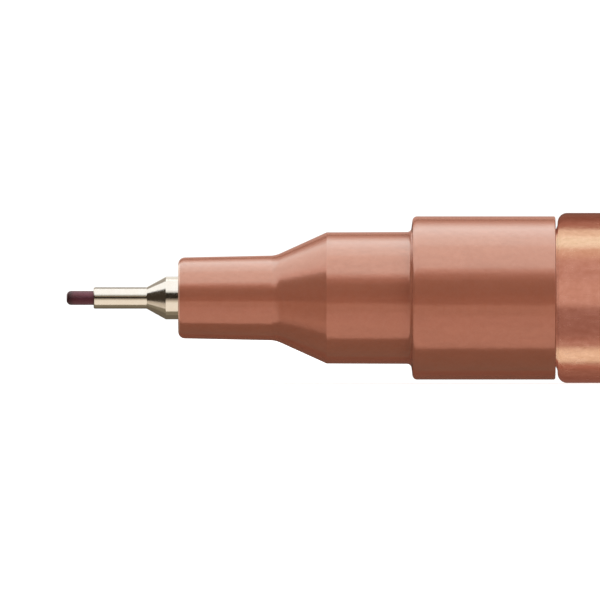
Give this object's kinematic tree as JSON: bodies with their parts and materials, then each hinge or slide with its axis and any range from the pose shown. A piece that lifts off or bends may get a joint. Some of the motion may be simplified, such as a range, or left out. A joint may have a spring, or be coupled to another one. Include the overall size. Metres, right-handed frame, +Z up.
{
  "type": "paint marker",
  "caption": "Slim paint marker with a metal-sleeved extra-fine point that is pressed to open a sprung valve, a copper-coloured barrel and a posted cap with a clip.",
  "frame": {"origin": "on the marker's axis, half way along the straight wall of the barrel", "axes": "+X along the axis from the point to the tail, +Z up with the marker lying on its barrel and clip, +Y completing a right-handed frame"},
  "size_m": [0.152, 0.0111, 0.01],
  "materials": {
    "section": "semi-gloss terracotta moulding",
    "barrel": "copper-coloured, brushed lengthwise",
    "sleeve": "turned, warm nickel plating",
    "nib": "wine-coloured rod",
    "natural_plastic": "natural, slightly milky",
    "wick": "bonded fibre",
    "seal": "matte",
    "spring": "drawn wire",
    "ball": "polished",
    "clip": "warm nickel plating"
  },
  "bodies": {
    "body": {"front_section": "section", "barrel": "barrel", "front_seal_ring": "seal", "valve_gasket": "seal", "valve_body": "natural_plastic", "valve_spring": "spring", "spring_retainer": "natural_plastic", "tail_plug": "section", "tail_seal_ring": "seal"},
    "point": {"nib": "nib", "nib_sleeve": "sleeve", "nib_carrier": "natural_plastic", "feed_wick": "wick", "valve_stem": "natural_plastic", "stem_seal": "seal"},
    "ball": {"mixing_ball": "ball"},
    "cap": {"cap_shell": "section", "cap_liner": "natural_plastic", "cap_crown": "section"},
    "clip": {"cap_clip": "clip"}
  },
  "joints": [
    {"name": "point_press", "type": "slide", "parent": "body", "child": "point", "axis": [1, 0, 0], "range_m": [0, 0.0015], "stiffness_N_per_m": 600, "deforming": ["valve_spring"]},
    {"name": "ball_roll", "type": "slide", "parent": "body", "child": "ball", "axis": [1, 0, 0], "range_m": [-0.0315, 0.0315]},
    {"name": "cap_pull", "type": "slide", "parent": "body", "child": "cap", "axis": [1, 0, 0], "range_m": [0, 0.03]},
    {"name": "clip_flex", "type": "hinge", "parent": "cap", "child": "clip", "pos_m": [0.07869, -0.00342, -0.00243], "axis": [0, -0.5793, 0.8151], "range_deg": [0, 4], "stiffness_Nm_per_rad": 2}
  ]
}
